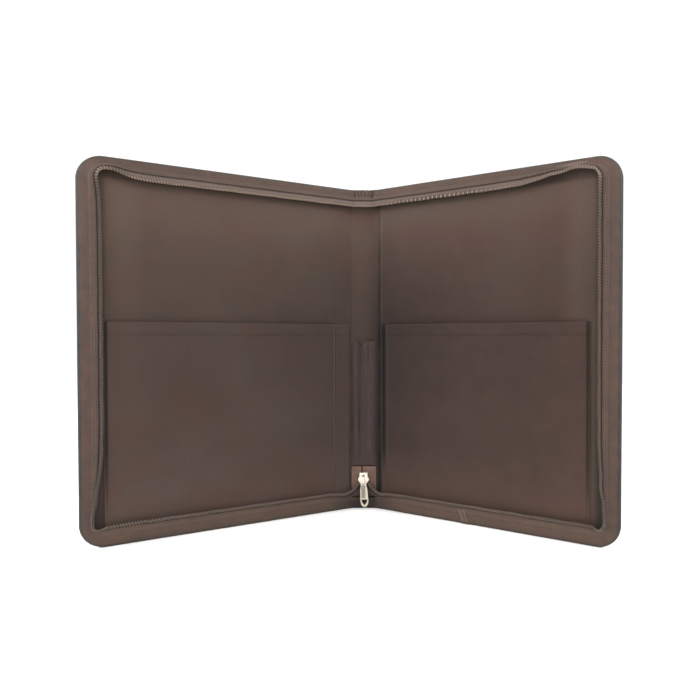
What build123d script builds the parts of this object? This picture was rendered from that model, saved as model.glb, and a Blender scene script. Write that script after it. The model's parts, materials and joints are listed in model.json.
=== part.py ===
"""Zip-around leather document case, standing open on its bottom edges like a book.

Frame: +Z up, origin in the middle of the spine's bottom edge. The two fold lines are the
vertical axes at x = +-spine_width/2, y = 0, in the middle of the outer leather. Both covers
reach towards -Y, so the inside faces -Y. Each cover has its own flat frame: u runs from the
fold line to the fore edge, the second axis is +Z, and n points to the inside of the case.
"""
from build123d import *
import os
from math import cos, radians, sin

os.makedirs("parts", exist_ok=True)

# Case, millimetres and degrees
case_height = 345.0
cover_width = 265.0        # fold line to fore edge
spine_width = 27.0         # fold line to fold line, so also the closed thickness
corner_radius = 22.0       # outer corners of the covers
cover_lean = 32.5          # each cover, short of lying flat in line with the spine

# Layers, from the outside in
leather = 1.2
board = 1.6
lining = 0.5
fold_gap = 1.4             # outer leather starts this far from the fold line
inner_gap = 4.2            # board and lining start here, to clear the spine when closed
edge_inset = 1.5           # board and lining stop short of the gusset wall
spine_leather_gap = 0.2    # the spine's layers stop this far short of the fold line
spine_board_gap = 1.5
spine_lining_gap = 1.0
inside = leather / 2 + board + lining   # n of the lining's face
touch = 0.05               # left between layers that lie on each other

# Gusset strip and zip, round the three open edges
gusset_start = 15.0        # the strip is free to flex between this u and the spine
gusset_reach = 15.0        # how far the strip's edge stands in from the case's edge
gusset_bend = 3.0
wall_top = 5.0             # n where the strip turns inwards
gusset_edge = 9.7          # n of the strip's inner edge
low_wall_top = 3.8         # the same strip where it lies flatter, across the foot of the spine
low_reach = 12.0
low_edge = 5.6
low_bend = 1.5
tape_width = 9.5
tape_thick = 0.6
tape_overlap = 4.0         # width of the tape under the strip's edge
coil_radius = 1.15
coil_set_back = 0.3        # the coil's centre is this far from the tape's edge
strip_gap = 0.2            # between the strips of a cover and those that cross the spine
strip_flat = 9.0           # the crossing strips run straight to this x, then bend to the covers
seam_join = 106.0          # u of the overlapped join in the right gusset, on the bottom edge

# Pockets: u of both sides, and the height of the mouth
left_pocket_span = (21.0, 244.0)
right_pocket_span = (16.0, 237.0)
pocket_bottom = 10.0
pocket_mouth = 200.0
pocket_full = 60.0         # height where the pocket reaches its depth
pocket_depth = 7.2
pocket_slope = 10.0        # width of each sloping side
pocket_sheet = 0.6
pocket_seam = 5.0          # sewn margin along each side
pocket_stages = (
    (pocket_bottom, pocket_sheet + 0.3),
    (pocket_full, pocket_depth - 0.4),
    (pocket_mouth, pocket_depth),
)
hollow_stages = (
    (pocket_bottom + 6, 0.1),
    (pocket_full, pocket_depth - 0.4 - pocket_sheet),
    (pocket_mouth + 1, pocket_depth - pocket_sheet),
)

# Pen sleeve and zip end on the spine
sleeve_bottom = 47.5
sleeve_top = 182.0
sleeve_half = 10.0
sleeve_depth = 8.5
sleeve_sheet = 0.6
sleeve_wall = 0.8          # width of the sleeve's cloth where it meets the lining
tab_bottom = 13.5
tab_top = 45.7
tab_half = 12.5
tab_thick = 1.0
slit_width = 1.8
slit_length = 9.0
slit_x = -2.0
slit_drop = 3.0            # the slit's middle, below the tab's top edge
tail_thick = 0.4
tail_width = 18.0
tail_inset = 3.0           # the zip's tail stops this far inside the tab's ends

# Slider
nose = 25.0                # height of the slider's pointed end
plate = 1.2
channel = 2.6
slider_back = inside + tail_thick + tab_thick + 0.3
slider_length = 15.0
plate_corner = 0.5
rail_x = 3.85
rail_width = 0.7
rail_depth = 0.9
rail_length = 4.6
rail_middle = 12.4         # above the nose
mouth_x = 3.6              # where the two tapes enter the slider
mouth_rise = 2.6
bridge_rise = 3.0
bridge_half = 1.1
bridge_opening = 1.75
bridge_corner = 0.6
pivot_rise = 5.4           # the pull's pivot, above the nose
pivot_out = 0.9            # and in front of the slider's front plate
pull_thick = 1.2
pull_lean = 3.0
pull_reach = 21.5          # below the nose
pull_corner = 0.8
pull_round = 3.0           # corners of its low end
pull_hole_half = 3.1       # half width of the hole's top side
pull_hole_top = 7.8        # heights of the hole's top, its bend and its lowest point, above
pull_hole_waist = 5.4      # the pull's low end
pull_hole_foot = 1.3
pull_hole_corner = 0.6
panel_size = (4.6, 9.0)    # the sunk panel on the pull's front
panel_corner = 1.0
panel_rise = 13.8          # its middle, above the pull's low end
panel_depth = 0.3

fold_x = spine_width / 2
lean_u = Vector(cos(radians(cover_lean)), -sin(radians(cover_lean)), 0)
lean_n = Vector(-sin(radians(cover_lean)), -cos(radians(cover_lean)), 0)
up = Vector(0, 0, 1)
cover = Plane(origin=(fold_x, 0, 0), x_dir=lean_u, z_dir=lean_n)


def write(piece, name):
    """Label a finished piece and write its STEP file."""
    piece.part.label = name
    export_step(piece.part, f"parts/{name}.step")


def write_pair(piece, name):
    """Write the right-hand piece, and its mirror image for the left cover."""
    write(piece, f"right_{name}")
    with BuildPart() as mirrored:
        mirror(piece.part, about=Plane.YZ)
    write(mirrored, f"left_{name}")


def cover_plate(start, inset, low, thickness):
    """A layer of the right cover, between n = low and low + thickness."""
    width = cover_width - inset - start
    radius = corner_radius - inset
    with BuildPart() as layer:
        with BuildSketch(cover.offset(low)):
            with Locations((start + width / 2, case_height / 2)):
                Rectangle(width, case_height - 2 * inset)
            fillet(vertices().group_by(Axis.X)[-1], radius)
        extrude(amount=thickness)
    return layer


def spine_plate(half_width, inset, low, thickness):
    """A layer of the spine, between n = low and low + thickness."""
    with BuildPart() as layer:
        with BuildSketch(Plane.XY.offset(inset)):
            with Locations((0, -low - thickness / 2)):
                Rectangle(2 * half_width, thickness)
        extrude(amount=case_height - 2 * inset)
    return layer


def section(point, inward, normal):
    """A plane across the edge strips: its x runs in from the edge, its y to the inside."""
    return Plane(origin=point, x_dir=inward, z_dir=inward.cross(normal))


def cover_section(u, top):
    """The section of the strips on the right cover, u from the fold line."""
    height = case_height if top else 0
    point = cover.from_local_coords(Vector(u, height, 0))
    return section(point, -up if top else up, lean_n)


def spine_section(x, top):
    """The section of the strips on the spine, at x."""
    return section(Vector(x, 0, case_height if top else 0), -up if top else up, Vector(0, -1, 0))


def flipped(vector):
    """A vector's mirror image about x = 0."""
    return Vector(-vector.X, vector.Y, vector.Z)


def mirrored_section(plane):
    """The same section on the left cover."""
    return section(flipped(plane.origin), flipped(plane.x_dir), flipped(plane.y_dir))


# Centre lines of the strips across a section, as (in from the edge, n)
slope = (Vector(gusset_reach, gusset_edge) - Vector(leather / 2, wall_top)).normalized()
rise = Vector(-slope.Y, slope.X)
gusset_low = Vector(leather / 2, leather / 2)
gusset_turn = Vector(leather / 2, wall_top)
gusset_end = Vector(gusset_reach, gusset_edge)
tape_low = gusset_end - slope * tape_overlap - rise * (leather / 2 + tape_thick / 2 + touch)
tape_end = tape_low + slope * tape_width
coil_centre = tape_end - slope * coil_set_back + rise * (tape_thick / 2 + coil_radius + touch)
low_turn = Vector(leather / 2, low_wall_top)
low_end = Vector(low_reach, low_edge)


def gusset_profile():
    """The leather strip: a wall up from the outer leather, then a lean to the inside."""
    with BuildLine() as centre:
        FilletPolyline(gusset_low, gusset_turn, gusset_end, radius=gusset_bend)
    trace(centre.edges(), line_width=leather)


def low_gusset_profile():
    """The strip where it lies flatter, under the slider."""
    with BuildLine() as centre:
        FilletPolyline(gusset_low, low_turn, low_end, radius=low_bend)
    trace(centre.edges(), line_width=leather)


def tape_profile():
    """The woven tape, sewn under the strip's inner edge."""
    with BuildLine() as centre:
        Line(tape_low, tape_end)
    trace(centre.edges(), line_width=tape_thick)


def loose_tape_profile():
    """The tape where it leaves the strip's edge and runs free to the slider."""
    with BuildLine() as centre:
        Line(tape_low + slope * (tape_overlap + 0.3), tape_end)
    trace(centre.edges(), line_width=tape_thick)


def coil_profile():
    """The nylon coil along the tape's inner edge."""
    with Locations(coil_centre):
        Circle(coil_radius)


def edge_sweep(profile):
    """Sweep a profile round the top, fore and bottom edges of the right cover."""
    with BuildPart() as strip:
        with BuildLine(cover):
            FilletPolyline(
                (gusset_start, case_height),
                (cover_width, case_height),
                (cover_width, 0),
                (gusset_start, 0),
                radius=corner_radius,
            )
        with BuildSketch(cover_section(gusset_start, True)):
            profile()
        sweep()
    return strip


def across_spine(profile, spine_profile, top):
    """A strip that crosses the spine, from one cover's strip to the other's."""
    right = cover_section(gusset_start - strip_gap, top)
    with BuildPart() as strip:
        with BuildSketch(spine_section(-strip_flat, top)):
            spine_profile()
        with BuildSketch(spine_section(strip_flat, top)):
            spine_profile()
        loft(ruled=True)
        for x, outer in ((strip_flat, right), (-strip_flat, mirrored_section(right))):
            with BuildSketch(spine_section(x, top)):
                spine_profile()
            with BuildSketch(outer):
                profile()
            loft(ruled=True)
    return strip


# Covers: outer leather, stiffener board and lining
write_pair(cover_plate(fold_gap, 0, -leather / 2, leather), "outer_leather")
write_pair(cover_plate(inner_gap, edge_inset, leather / 2, board), "board")
write_pair(cover_plate(inner_gap, edge_inset, leather / 2 + board, lining), "lining")

# Spine layers
for name, gap, inset, low, thickness in (
    ("spine_outer_leather", spine_leather_gap, 0, -leather / 2, leather),
    ("spine_board", spine_board_gap, edge_inset, leather / 2, board),
    ("spine_lining", spine_lining_gap, edge_inset, leather / 2 + board, lining),
):
    write(spine_plate(fold_x - gap, inset, low, thickness), name)

# Zip tape and coil round each cover
write_pair(edge_sweep(tape_profile), "zip_tape")
write_pair(edge_sweep(coil_profile), "zip_coil")

# Leather gusset strips: the left one is whole, the right one is joined on the bottom edge
whole_gusset = edge_sweep(gusset_profile)
with BuildPart() as left_gusset:
    mirror(whole_gusset.part, about=Plane.YZ)
write(left_gusset, "left_gusset")

join_plane = Plane(cover.from_local_coords(Vector(seam_join, 0, 0)), x_dir=lean_n, z_dir=lean_u)
with BuildPart() as lower_cut:
    with BuildSketch(join_plane):
        Rectangle(4 * gusset_edge, 4 * gusset_reach)
    extrude(amount=-seam_join)
with BuildPart() as right_gusset_tail:
    add(whole_gusset.part)
    add(lower_cut.part, mode=Mode.INTERSECT)
write(right_gusset_tail, "right_gusset_tail")
with BuildPart() as right_gusset:
    add(whole_gusset.part)
    add(lower_cut.part, mode=Mode.SUBTRACT)
write(right_gusset, "right_gusset")

# Strips that cross the spine and flex as the covers swing
write(across_spine(gusset_profile, gusset_profile, True), "spine_top_gusset")
write(across_spine(tape_profile, tape_profile, True), "spine_top_tape")
write(across_spine(coil_profile, coil_profile, True), "spine_top_coil")
write(across_spine(gusset_profile, low_gusset_profile, False), "spine_bottom_gusset")


def pocket_section(height, *points):
    """A closed outline across the right cover's pocket, at a height above the bottom edge."""
    plane = Plane(cover.from_local_coords(Vector(0, height, inside)), x_dir=lean_u, z_dir=-up)
    with BuildSketch(plane) as across:
        with BuildLine():
            Polyline(*points, close=True)
        make_face()
    return across.sketch


def pocket(span):
    """A pocket's front sheet on the right cover, sewn down on three sides, open at the top."""
    low, high = span
    outside = [
        pocket_section(
            height,
            (low, 0),
            (low, pocket_sheet),
            (low + pocket_slope, depth),
            (high - pocket_slope, depth),
            (high, pocket_sheet),
            (high, 0),
        )
        for height, depth in pocket_stages
    ]
    hollow = [
        pocket_section(
            height,
            (low + pocket_seam, -0.5),
            (low + pocket_seam + 0.5, 0),
            (low + pocket_slope, depth),
            (high - pocket_slope, depth),
            (high - pocket_seam - 0.5, 0),
            (high - pocket_seam, -0.5),
        )
        for height, depth in hollow_stages
    ]
    with BuildPart() as sheet:
        loft(outside, ruled=True)
        loft(hollow, ruled=True, mode=Mode.SUBTRACT)
    return sheet


right_pocket = pocket(right_pocket_span)
write(right_pocket, "right_pocket")
left_pocket_shape = pocket(left_pocket_span)
with BuildPart() as left_pocket:
    mirror(left_pocket_shape.part, about=Plane.YZ)
write(left_pocket, "left_pocket")

# Pen sleeve: half a flattened tube, sewn to the spine lining, open at the top
def sleeve_section(foot, shoulder, foot_n, shoulder_n, top_n):
    """Half a flattened tube's section: half widths and heights of its foot, shoulder and top."""
    with BuildSketch() as across:
        with BuildLine():
            Spline(
                (-foot, -foot_n),
                (-shoulder, -shoulder_n),
                (0, -top_n),
                (shoulder, -shoulder_n),
                (foot, -foot_n),
            )
            Line((foot, -foot_n), (-foot, -foot_n))
        make_face()
    return across.sketch


sleeve_top_n = inside + sleeve_depth
with BuildPart() as pen_sleeve:
    with BuildSketch(Plane.XY.offset(sleeve_bottom)):
        add(
            sleeve_section(
                sleeve_half,
                0.62 * sleeve_half,
                inside,
                inside + 0.86 * sleeve_depth,
                sleeve_top_n,
            )
        )
    extrude(amount=sleeve_top - sleeve_bottom)
    with BuildSketch(Plane.XY.offset(sleeve_bottom + sleeve_sheet)):
        add(
            sleeve_section(
                sleeve_half - sleeve_wall,
                0.56 * sleeve_half,
                inside - 0.4,
                inside + 0.79 * sleeve_depth,
                sleeve_top_n - sleeve_sheet,
            )
        )
    extrude(amount=sleeve_top - sleeve_bottom, mode=Mode.SUBTRACT)
write(pen_sleeve, "pen_sleeve")

# Zip end: the sewn-down tail of the zip, and the leather tab over it
with BuildPart() as zip_tail:
    with BuildSketch(Plane.XZ.offset(inside)):
        with Locations((0, (tab_bottom + tab_top) / 2)):
            Rectangle(tail_width, tab_top - tab_bottom - 2 * tail_inset)
    extrude(amount=tail_thick)
write(zip_tail, "zip_tail")

with BuildPart() as zip_end_tab:
    with BuildSketch(Plane.XZ.offset(inside + tail_thick)):
        with Locations((0, (tab_bottom + tab_top) / 2)):
            Rectangle(2 * tab_half, tab_top - tab_bottom)
        with Locations((slit_x, tab_top - slit_drop)):
            Rectangle(slit_width, slit_length, mode=Mode.SUBTRACT)
    extrude(amount=tab_thick)
write(zip_end_tab, "zip_end_tab")

# Loose ends of the two tapes, from the bottom edges up into the slider
chain_y = slider_back + plate + channel / 2


def tail_strip(profile, outline):
    """A strip from the cover's bottom edge to the slider's mouth on the right."""
    mouth = Plane(origin=(mouth_x, -chain_y, nose + mouth_rise), x_dir=(1, 0, 1), z_dir=(1, 0, -1))
    with BuildPart() as strip:
        with BuildSketch(cover_section(gusset_start - strip_gap, False)):
            profile()
        with BuildSketch(mouth):
            outline()
        loft(ruled=True)
    return strip


def tape_mouth():
    """The tape's section where it enters the slider."""
    with Locations((-0.6, 0)):
        Rectangle(4.4, tape_thick)


def coil_mouth():
    """The coil's section where it enters the slider."""
    with Locations((1.2, 1.15)):
        Circle(0.75)


write_pair(tail_strip(loose_tape_profile, tape_mouth), "tail_tape")
write_pair(tail_strip(coil_profile, coil_mouth), "tail_coil")

# Slider body: two shield-shaped plates on a wedge, with rails that keep the coils in
shield = (
    (1.2, 0.4),
    (5.6, 6.8),
    (5.6, 8.6),
    (4.25, 10.6),
    (4.25, slider_length),
)
wedge = ((0, 1.4), (1.7, 4.6), (0.9, 7.6))


def both_sides(half):
    """The points of a right-hand outline above the nose, then those of its mirror image."""
    points = [(x, nose + z) for x, z in half]
    return points + [(-x, z) for x, z in reversed(points) if x > 0]


with BuildPart() as slider_body:
    for depth in (slider_back, slider_back + plate + channel):
        with BuildSketch(Plane.XZ.offset(depth)):
            with BuildLine():
                Polyline(*both_sides(shield), close=True)
            make_face()
            fillet(vertices(), plate_corner)
        extrude(amount=plate)
    with BuildSketch(Plane.XZ.offset(slider_back + plate)):
        with BuildLine():
            Polyline(*both_sides(wedge), close=True)
        make_face()
    extrude(amount=channel)
    for depth in (slider_back + plate, slider_back + plate + channel - rail_depth):
        with BuildSketch(Plane.XZ.offset(depth)):
            with Locations((rail_x, nose + rail_middle), (-rail_x, nose + rail_middle)):
                Rectangle(rail_width, rail_length)
        extrude(amount=rail_depth)
write(slider_body, "slider_body")

# Bridge: the arch on the slider's front that holds the pull
front = slider_back + 2 * plate + channel
bridge_front = front + bridge_rise
with BuildPart() as slider_bridge:
    with BuildSketch(Plane.YZ.offset(-bridge_half)):
        with BuildLine():
            Polyline(
                (-front, nose + 2.2),
                (-bridge_front, nose + 4.0),
                (-bridge_front, nose + 11.0),
                (-front, nose + 13.0),
                close=True,
            )
        make_face()
        with BuildLine():
            Polyline(
                (-front, nose + 3.9),
                (-front - bridge_opening, nose + 4.9),
                (-front - bridge_opening, nose + 10.2),
                (-front, nose + 11.4),
                close=True,
            )
        make_face(mode=Mode.SUBTRACT)
    extrude(amount=2 * bridge_half)
    outer_edges = edges().filter_by(Axis.X).group_by(Axis.Y)[0]
    fillet(outer_edges, bridge_corner)
write(slider_bridge, "slider_bridge")

# Pull: hangs from a bar through the bridge, with a shield-shaped hole at its end
pivot_y = -front - pivot_out
pivot_z = nose + pivot_rise
pull_bottom = -(pivot_z - nose + pull_reach)
pull_plane = Plane(
    origin=(0, pivot_y + pull_thick / 2, pivot_z),
    x_dir=(cos(radians(pull_lean)), 0, sin(radians(pull_lean))),
    z_dir=(0, -1, 0),
)
pull_outline = (
    (3.0, 0.55),
    (3.0, -5.0),
    (3.7, -8.0),
    (4.35, pull_bottom + 6.0),
    (3.6, pull_bottom + 2.2),
    (1.7, pull_bottom),
)
with BuildPart() as pull_tab:
    with BuildSketch(pull_plane):
        with BuildLine():
            Polyline(*pull_outline, *[(-x, y) for x, y in reversed(pull_outline)], close=True)
        make_face()
        fillet(vertices().filter_by_position(Axis.Y, pull_bottom, pull_bottom + 4), pull_round)
        fillet(vertices().filter_by_position(Axis.Y, 0, 1), pull_corner)
        with Locations((0, -2.5)):
            Rectangle(3.1, 3.9, mode=Mode.SUBTRACT)
    extrude(amount=pull_thick)
    with BuildSketch(pull_plane):
        with BuildLine():
            Polyline(
                (-pull_hole_half, pull_bottom + pull_hole_top),
                (pull_hole_half, pull_bottom + pull_hole_top),
                (pull_hole_half - 0.2, pull_bottom + pull_hole_waist),
                (0, pull_bottom + pull_hole_foot),
                (0.2 - pull_hole_half, pull_bottom + pull_hole_waist),
                close=True,
            )
        make_face()
        fillet(vertices(), pull_hole_corner)
    extrude(amount=pull_thick, mode=Mode.SUBTRACT)
    with BuildSketch(pull_plane.offset(pull_thick - panel_depth)):
        with Locations((0, pull_bottom + panel_rise)):
            RectangleRounded(*panel_size, panel_corner)
    extrude(amount=panel_depth, mode=Mode.SUBTRACT)
write(pull_tab, "pull_tab")
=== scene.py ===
import json
import math

import bmesh
import bpy
import numpy as np
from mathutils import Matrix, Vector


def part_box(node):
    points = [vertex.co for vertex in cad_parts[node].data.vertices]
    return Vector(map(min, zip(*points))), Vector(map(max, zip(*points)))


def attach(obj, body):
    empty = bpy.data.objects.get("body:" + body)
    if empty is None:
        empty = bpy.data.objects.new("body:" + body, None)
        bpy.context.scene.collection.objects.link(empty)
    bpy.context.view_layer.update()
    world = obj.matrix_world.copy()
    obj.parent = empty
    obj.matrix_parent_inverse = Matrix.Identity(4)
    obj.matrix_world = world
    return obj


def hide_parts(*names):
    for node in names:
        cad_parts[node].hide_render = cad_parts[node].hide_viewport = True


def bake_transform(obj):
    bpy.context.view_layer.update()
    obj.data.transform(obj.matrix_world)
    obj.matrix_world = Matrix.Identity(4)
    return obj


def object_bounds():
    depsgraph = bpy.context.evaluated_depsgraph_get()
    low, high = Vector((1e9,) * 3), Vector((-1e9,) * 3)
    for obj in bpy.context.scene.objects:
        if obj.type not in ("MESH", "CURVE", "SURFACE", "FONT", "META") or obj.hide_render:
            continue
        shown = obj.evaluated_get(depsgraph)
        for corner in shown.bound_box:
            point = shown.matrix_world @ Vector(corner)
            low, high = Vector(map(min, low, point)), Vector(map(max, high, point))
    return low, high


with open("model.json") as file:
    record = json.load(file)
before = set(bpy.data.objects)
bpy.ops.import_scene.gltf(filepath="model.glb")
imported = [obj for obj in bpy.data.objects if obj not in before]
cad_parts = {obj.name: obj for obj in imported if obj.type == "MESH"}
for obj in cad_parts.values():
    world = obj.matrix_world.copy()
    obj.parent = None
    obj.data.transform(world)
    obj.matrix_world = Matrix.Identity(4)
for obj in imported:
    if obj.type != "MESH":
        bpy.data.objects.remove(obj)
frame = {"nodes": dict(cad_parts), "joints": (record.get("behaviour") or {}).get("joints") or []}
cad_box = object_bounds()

MM = 0.001

# ---- The case, from the frame ----
# Each half is described by s, the distance from the middle of the spine along the skin to the
# fore edge, by z, and by n, the height above the outer leather towards the inside of the case.
right_hinge = next(j for j in frame["joints"] if j["name"] == "right_cover_hinge")
FOLD = right_hinge["pos_m"][0]
LEAN = math.radians(90 - right_hinge["range_deg"][1])
HALF_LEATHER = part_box("spine_outer_leather")[1].y
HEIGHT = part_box("spine_outer_leather")[1].z
COVER = (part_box("right_outer_leather")[1].x - FOLD - HALF_LEATHER * math.sin(LEAN)) / math.cos(LEAN)
FORE = FOLD + COVER
FACE = -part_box("spine_lining")[0].y
CORNER = 22 * MM
BEND = 5 * MM  # the skin curves this far to each side of a fold line
SEAM = {-1: FOLD + 4.3 * MM, 1: FOLD + 9.2 * MM}  # stitch line beside the spine, on each half
EDGE_SEAM = 3.6 * MM  # stitch line round the back, in from its edge
STEP = 0.1 * MM  # a small move over a surface, to find its directions
SHARP = math.radians(55)  # edges steeper than this stay crisp
SIDES = (("left", -1), ("right", 1))


def smooth(x):
    """A step from 0 to 1 with soft ends."""
    x = np.clip(x, 0, 1)
    return x * x * (3 - 2 * x)


def ramp(x, start, width):
    """0 up to start, then a soft step up to 1 over the width."""
    return smooth((x - start) / width)


def fall(x, end, width):
    """A soft step down over the width, to 0 from end on."""
    return smooth((end - x) / width)


def hump(x, middle, width):
    """A rounded rise of height 1 round the middle."""
    return np.exp(-(((x - middle) / width) ** 2))


def skin(side, s, z, n):
    """Points of one half of the case; side is -1 on the left and 1 on the right."""
    s, z, n = np.broadcast_arrays(s, z, n)
    past = s - FOLD
    ramp = np.where(past > BEND, past, np.clip(past + BEND, 0, None) ** 2 / (4 * BEND))
    turned = np.clip((past + BEND) / (2 * BEND), 0, 1)
    dx = 1 + turned * (math.cos(LEAN) - 1)
    dy = -turned * math.sin(LEAN)
    length = np.hypot(dx, dy)
    x = s + ramp * (math.cos(LEAN) - 1) + n * dy / length
    y = -ramp * math.sin(LEAN) - n * dx / length
    return np.stack([side * x, y, z], axis=-1)


# Distances round the open edges, from the middle of the spine's top to the middle of its foot
STRAIGHT = FORE - CORNER
ARC = CORNER * math.pi / 2
ROUND = 2 * STRAIGHT + 2 * ARC + HEIGHT - 2 * CORNER
# Where the zip stands up and runs closer to the edge, near the top and low corners of each half:
# the place, how far it moves, and how far this reaches before and after it
DIPS = {
    -1: (
        (STRAIGHT - 5 * MM, 6.0 * MM, 15 * MM, 42 * MM),
        (ROUND - STRAIGHT - ARC + 2 * MM, 8.4 * MM, 42 * MM, 12 * MM),
    ),
    1: (
        (STRAIGHT - 15 * MM, 8.8 * MM, 38 * MM, 25 * MM),
        (ROUND - STRAIGHT - ARC + 6 * MM, 5.4 * MM, 50 * MM, 13 * MM),
    ),
}


def edge(t, r):
    """The place (s, z) at a distance t round the edge and r in from it."""
    after_top = t - STRAIGHT
    after_side = after_top - ARC - (HEIGHT - 2 * CORNER)
    turn = (np.clip(after_top / ARC, 0, 1) + np.clip(after_side / ARC, 0, 1)) * math.pi / 2
    centre_s = np.minimum(t, STRAIGHT) - np.clip(after_side - ARC, 0, None)
    centre_z = HEIGHT - CORNER - np.clip(after_top - ARC, 0, HEIGHT - 2 * CORNER)
    reach = CORNER - r
    return centre_s + reach * np.sin(turn), centre_z + reach * np.cos(turn)


def edge_skin(side, t, r, n):
    """Points near the open edges, r in from the edge and n above the outer leather."""
    s, z = edge(t, r)
    return skin(side, s, z, n)


def dip(t, side):
    """How much closer to the edge the zip runs at t."""
    total = 0
    for place, depth, before, after in DIPS[side]:
        total = total + depth * hump(t, place, np.where(t < place, before, after))
    return total


def along_edges(t, top, side, low, foot):
    """A value that changes smoothly from the top edge to the fore edge, the low edge and the foot."""
    turn = ARC + 30 * MM
    value = top + (side - top) * smooth((t - STRAIGHT + 15 * MM) / turn)
    value = value + (low - side) * smooth((t - ROUND + STRAIGHT + ARC + 15 * MM) / turn)
    at_foot = fall(ROUND - t, FOLD + 34 * MM, 38 * MM)
    return value + (foot - value) * at_foot


def ripple(t, side):
    """Small waves along the zip, larger by the right half's low corner."""
    low_corner = 1.6 * hump(t, ROUND - STRAIGHT - ARC, 45 * MM) if side > 0 else 0
    wave = np.sin(t / (5.9 * MM) + side) * 0.5 + np.sin(t / (3.3 * MM) + 2 * side) * 0.3
    return wave * (1 + low_corner)


def unit(v):
    return v / np.linalg.norm(v, axis=-1, keepdims=True)


# ---- Mesh making ----
def piece(name, points, faces, finish, uv=None, tone=None, warm=None):
    """A mesh object with a finish. tone darkens or lightens it, mostly as painted shade and light, and
    warm shifts its colour.
    """
    mesh = bpy.data.meshes.new(name)
    mesh.from_pydata(points.reshape(-1, 3).tolist(), [], faces)
    for label, values in (("tone", tone), ("warm", warm)):
        attribute = mesh.attributes.new(label, "FLOAT", "POINT")
        if values is not None:
            spread = np.broadcast_to(values, points.shape[:-1])
            attribute.data.foreach_set("value", spread.astype(np.float32).ravel())
    if uv is not None:
        corners = np.empty(len(mesh.loops), np.int32)
        mesh.loops.foreach_get("vertex_index", corners)
        layer = mesh.uv_layers.new(name="metres")
        layer.data.foreach_set("uv", uv.reshape(-1, 2)[corners].astype(np.float32).ravel())
    work = bmesh.new()
    work.from_mesh(mesh)
    bmesh.ops.recalc_face_normals(work, faces=work.faces)
    work.to_mesh(mesh)
    work.free()
    mesh.polygons.foreach_set("use_smooth", [True] * len(mesh.polygons))
    mesh.set_sharp_from_angle(angle=SHARP)
    mesh.materials.append(finish)
    made = bpy.data.objects.new(name, mesh)
    bpy.context.scene.collection.objects.link(made)
    return made


def ring_faces(rows, count, start=0):
    """Quads between closed rings, with a cap at each end."""
    faces = []
    for i in range(rows - 1):
        for j in range(count):
            a = start + i * count + j
            b = start + i * count + (j + 1) % count
            faces.append((a, b, b + count, a + count))
    faces.append(tuple(range(start, start + count)))
    faces.append(tuple(range(start + (rows - 1) * count, start + rows * count)))
    return faces


def grid_uv(u, v):
    """Texture coordinates in metres for a grid of points."""
    return np.stack(np.broadcast_arrays(u, v), axis=-1)


def strip(name, rings, along, across, finish, **marks):
    """A closed strip through rings of points."""
    rows, count = rings.shape[:2]
    uv = grid_uv(along[:, None], across[None, :])
    return piece(name, rings, ring_faces(rows, count), finish, uv=uv, **marks)


def slab(name, front, back, uv, finish, **marks):
    """A thin closed sheet between two grids of points."""
    rows, columns = front.shape[:2]
    total = rows * columns
    faces = []
    for i in range(rows - 1):
        for j in range(columns - 1):
            a = i * columns + j
            quad = (a, a + 1, a + columns + 1, a + columns)
            faces.append(quad)
            faces.append(tuple(total + k for k in reversed(quad)))
    rim = list(range(columns))
    rim += [i * columns + columns - 1 for i in range(1, rows)]
    rim += [(rows - 1) * columns + j for j in range(columns - 2, -1, -1)]
    rim += [i * columns for i in range(rows - 2, 0, -1)]
    for a, b in zip(rim, rim[1:] + rim[:1]):
        faces.append((b, a, total + a, total + b))
    return piece(name, np.stack([front, back]), faces, finish, uv=np.stack([uv, uv]), **marks)


def stitches(name, middles, along, out, finish, length, radius, tone=None):
    """Short arched threads at the middles, lying in the directions along and standing out."""
    along = unit(along)
    out = unit(out)
    side = np.cross(along, out)
    reach = np.array([-0.5, -0.42, -0.15, 0.15, 0.42, 0.5]) * length
    swell = np.array([0.35, 0.85, 1.0, 1.0, 0.85, 0.35]) * radius
    arch = np.array([-1.3, -0.2, 0.35, 0.35, -0.2, -1.3]) * radius
    around = np.arange(6) * math.pi / 3
    rise = arch[:, None] + swell[:, None] * np.sin(around)
    spread = swell[:, None] * np.cos(around)
    points = (
        middles[:, None, None]
        + along[:, None, None] * reach[None, :, None, None]
        + out[:, None, None] * rise[None, :, :, None]
        + side[:, None, None] * spread[None, :, :, None]
    )
    size = points.shape[1] * points.shape[2]
    faces = []
    for k in range(len(middles)):
        faces += ring_faces(len(reach), len(around), k * size)
    if tone is not None:
        tone = tone[:, None, None]
    return piece(name, points, faces, finish, tone=tone)


def cross_fold(made, side_name, slot, *nodes):
    """A piece of one half, from the spine to its cover: fixes its place in its mesh and hides the CAD
    nodes it replaces.
    """
    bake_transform(made)
    if nodes:
        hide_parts(*nodes)


# ---- Materials ----
BY_UV = 2  # outputs of the texture coordinate node: in metres over a piece's own surface
BY_PLACE = 3  # and in metres through the room


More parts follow.
